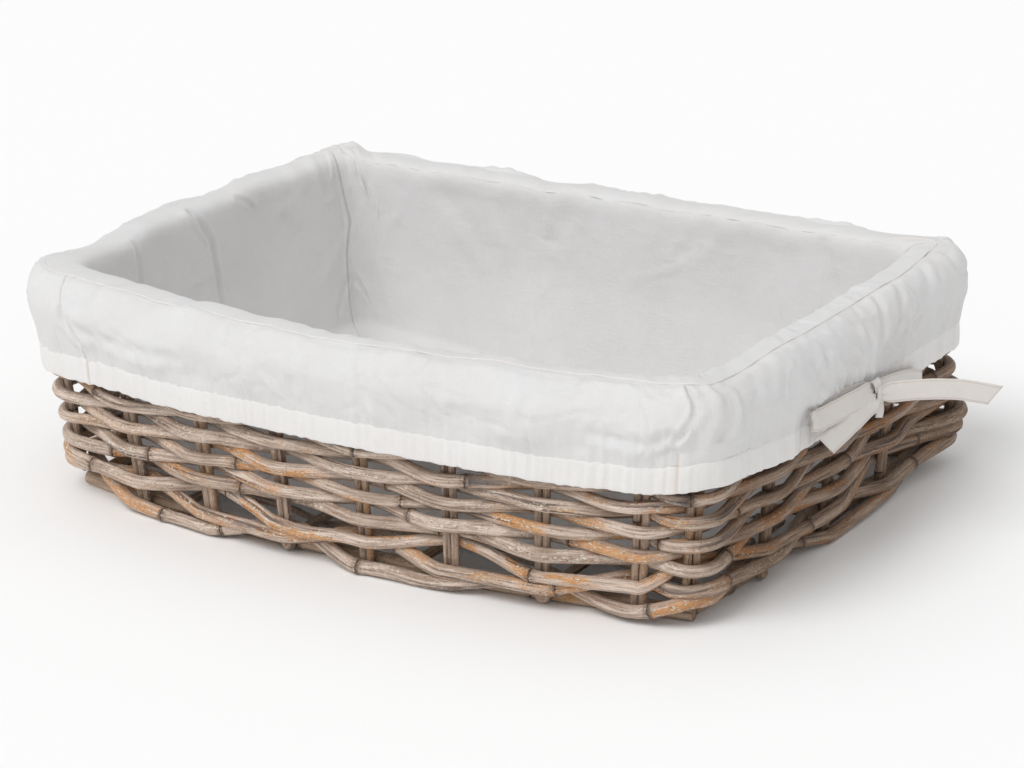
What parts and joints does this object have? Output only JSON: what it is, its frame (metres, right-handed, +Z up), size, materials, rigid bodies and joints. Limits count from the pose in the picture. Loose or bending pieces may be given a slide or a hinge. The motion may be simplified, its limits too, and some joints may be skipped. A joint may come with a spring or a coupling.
{
  "type": "bread basket",
  "caption": "Rectangular wicker bread basket on a rod base frame, woven round upright stakes, with a cotton liner folded over the rim and tied outside by a drawstring tape.",
  "frame": {"origin": "centre of the footprint of basket and tie, on the surface that the basket stands on", "axes": "+X along the basket towards the tied end, -Y to the front, +Z up"},
  "size_m": [0.744, 0.5026, 0.1922],
  "materials": {
    "weaving_cane": "weathered, semi-matt",
    "stake_cane": "weathered, semi-matt",
    "frame_cane": "dry, matt",
    "liner_cotton": "plain weave, matt",
    "tie_cotton": "twill tape, matt"
  },
  "bodies": {
    "basket": {"base_rail_front": "frame_cane", "base_rail_back": "frame_cane", "base_rail_left": "frame_cane", "base_rail_right": "frame_cane", "base_cross_rod_1": "frame_cane", "base_cross_rod_2": "frame_cane", "base_cross_rod_3": "frame_cane", "base_cross_rod_4": "frame_cane", "floor_weave": "weaving_cane", "stake_pair_01": "stake_cane", "stake_pair_02": "stake_cane", "stake_pair_03": "stake_cane", "stake_pair_04": "stake_cane", "stake_pair_05": "stake_cane", "stake_pair_06": "stake_cane", "stake_pair_07": "stake_cane", "stake_pair_08": "stake_cane", "stake_pair_09": "stake_cane", "stake_pair_10": "stake_cane", "stake_pair_11": "stake_cane", "stake_pair_12": "stake_cane", "stake_pair_13": "stake_cane", "stake_pair_14": "stake_cane", "stake_pair_15": "stake_cane", "stake_pair_16": "stake_cane", "stake_pair_17": "stake_cane", "stake_pair_18": "stake_cane", "stake_pair_19": "stake_cane", "stake_pair_20": "stake_cane", "stake_pair_21": "stake_cane", "stake_pair_22": "stake_cane", "stake_pair_23": "stake_cane", "stake_pair_24": "stake_cane", "wale_strand_1": "weaving_cane", "wale_strand_2": "weaving_cane", "wale_strand_3": "weaving_cane", "weave_row_01": "weaving_cane", "weave_row_02": "weaving_cane", "weave_row_03": "weaving_cane", "weave_row_04": "weaving_cane", "weave_row_05": "weaving_cane", "weave_row_06": "weaving_cane", "weave_row_07": "weaving_cane", "weave_row_08": "weaving_cane", "weave_row_09": "weaving_cane", "weave_row_10": "weaving_cane", "weave_row_11": "weaving_cane", "weave_row_12": "weaving_cane", "rim_hoop_outer": "frame_cane", "rim_hoop_inner": "frame_cane", "rim_top_outer": "frame_cane", "rim_top_inner": "frame_cane"},
    "liner": {"liner_tub": "liner_cotton", "liner_skirt": "liner_cotton", "liner_hem_casing": "liner_cotton", "tie_knot": "tie_cotton", "tie_loop": "tie_cotton", "tie_tail_short": "tie_cotton", "tie_tail_long": "tie_cotton"}
  },
  "joints": [
    {"name": "liner_lift", "type": "slide", "parent": "basket", "child": "liner", "axis": [0, 0, 1], "range_m": [0, 0.2], "deforming": ["liner_skirt", "liner_hem_casing", "tie_knot", "tie_loop", "tie_tail_short", "tie_tail_long"]}
  ]
}
